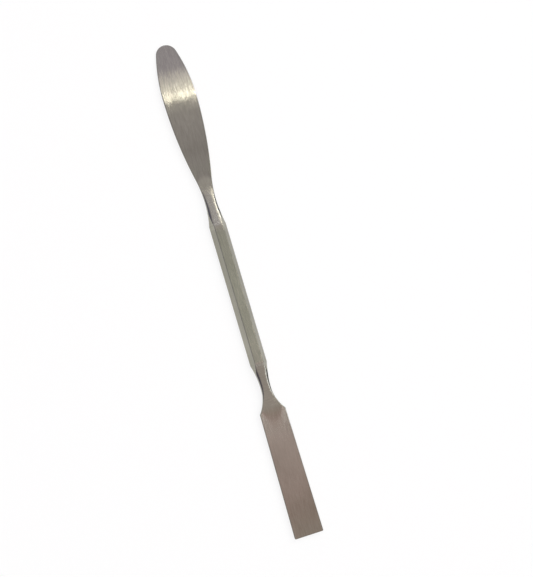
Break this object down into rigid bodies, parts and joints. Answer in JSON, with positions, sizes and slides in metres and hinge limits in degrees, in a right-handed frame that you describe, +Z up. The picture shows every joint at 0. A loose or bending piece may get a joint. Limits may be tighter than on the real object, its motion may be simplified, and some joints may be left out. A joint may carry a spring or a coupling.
{
  "type": "lab spatula",
  "caption": "Slim steel lab spatula: hexagonal handle, flat square-ended blade and leaf-shaped blade with a rounded, turned-down tip, for scooping and scraping powders.",
  "frame": {"origin": "middle of the spatula's length and width, on the surface that it lies on", "axes": "+X along the spatula towards the square blade, +Y across it, +Z up from the surface"},
  "size_m": [0.2, 0.0132, 0.006],
  "materials": {
    "steel": "stainless steel, ground and brushed lengthwise"
  },
  "bodies": {
    "root": {"spatula": "steel"}
  },
  "joints": []
}
